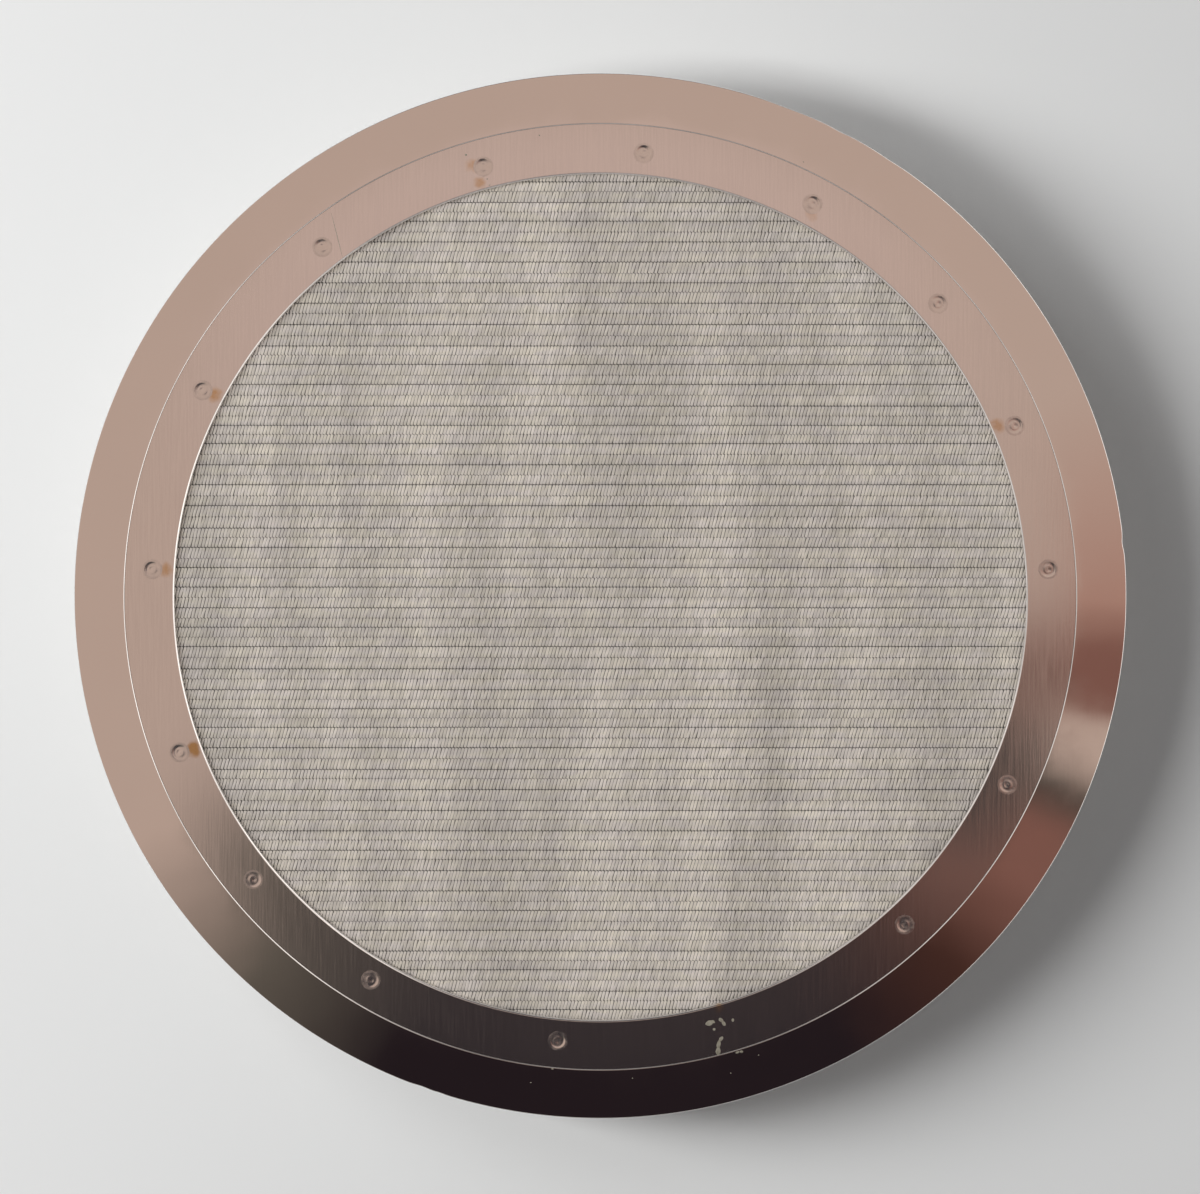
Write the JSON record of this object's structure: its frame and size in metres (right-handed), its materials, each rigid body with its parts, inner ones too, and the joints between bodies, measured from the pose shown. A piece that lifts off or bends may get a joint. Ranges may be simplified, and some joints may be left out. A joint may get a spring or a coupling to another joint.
{
  "type": "woven strainer screen",
  "caption": "Round press-in strainer screen: woven wire membrane and flat ring spot-welded into a polished steel frame on a beaded skirt, open at the back.",
  "frame": {"origin": "centre of the back opening, on the plane that the skirt's open edge rests on", "axes": "+Z along the screen's axis, from the open back to the woven face; the warp wires of the membrane run along X"},
  "size_m": [0.06, 0.06, 0.009],
  "materials": {
    "polished_steel": "mirror-polished stainless steel with faint straight grain and a few handling scratches",
    "brushed_steel": "finely brushed stainless steel, straight grain, heat tint and light rust beside some welds",
    "satin_steel": "satin stainless steel, drawn",
    "plate_steel": "satin stainless steel sheet, punched",
    "woven_wire": "Dutch weave of fine stainless wire, dull",
    "fused_steel": "spot-weld dimples, slightly heat tinted"
  },
  "bodies": {
    "root": {"face_frame": "polished_steel", "skirt": "satin_steel", "retaining_ring": "brushed_steel", "woven_membrane": "woven_wire", "diffuser_plate": "plate_steel", "spot_weld_01": "fused_steel", "spot_weld_02": "fused_steel", "spot_weld_03": "fused_steel", "spot_weld_04": "fused_steel", "spot_weld_05": "fused_steel", "spot_weld_06": "fused_steel", "spot_weld_07": "fused_steel", "spot_weld_08": "fused_steel", "spot_weld_09": "fused_steel", "spot_weld_10": "fused_steel", "spot_weld_11": "fused_steel", "spot_weld_12": "fused_steel", "spot_weld_13": "fused_steel", "spot_weld_14": "fused_steel", "spot_weld_15": "fused_steel", "spot_weld_16": "fused_steel"}
  },
  "joints": []
}
